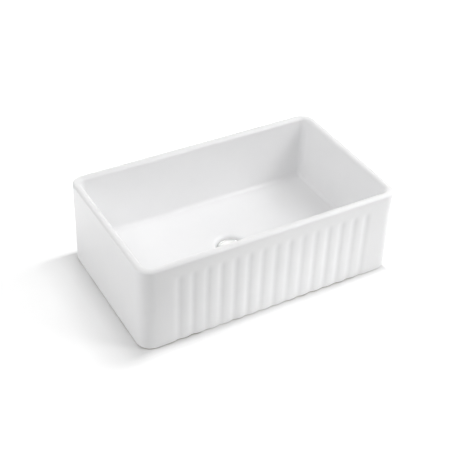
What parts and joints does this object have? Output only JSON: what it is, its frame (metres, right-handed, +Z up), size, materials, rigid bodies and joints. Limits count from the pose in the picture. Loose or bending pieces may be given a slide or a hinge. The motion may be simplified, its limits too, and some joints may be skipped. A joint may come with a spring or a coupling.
{
  "type": "farmhouse apron front sink",
  "caption": "Rectangular fireclay sink with one deep basin, a fluted apron front, rounded rim and a central outlet that holds a lift-out strainer basket with a push-down stopper.",
  "frame": {"origin": "centre of the base, on the plane of the foot", "axes": "+X along the sink to the right as seen from the apron, apron facing -Y, +Z up out of the basin"},
  "size_m": [0.762, 0.4572, 0.254],
  "materials": {
    "fireclay_glaze": "glossy white glaze on fireclay, unglazed under the foot",
    "stainless": "polished and satin stainless steel",
    "spring_steel": "drawn spring wire",
    "brass": "turned and cast brass",
    "black_rubber": "moulded rubber",
    "white_washer": "moulded polyethylene"
  },
  "bodies": {
    "bowl": {"sink_bowl": "fireclay_glaze", "waste_body": "stainless", "flange_gasket": "black_rubber", "underside_gasket": "black_rubber", "slip_washer": "white_washer", "backnut": "brass"},
    "basket": {"strainer_basket": "stainless", "basket_hub": "brass", "catch_ring": "spring_steel"},
    "stopper": {"stopper_post": "stainless", "stopper_knob": "stainless", "stopper_seal": "black_rubber", "seal_plate": "stainless", "seal_washer": "stainless", "seal_nut": "stainless"}
  },
  "joints": [
    {"name": "basket_lift", "type": "slide", "parent": "bowl", "child": "basket", "axis": [0, 0, 1], "range_m": [0, 0.25]},
    {"name": "stopper_lift", "type": "slide", "parent": "basket", "child": "stopper", "axis": [0, 0, 1], "range_m": [0, 0.006]}
  ]
}
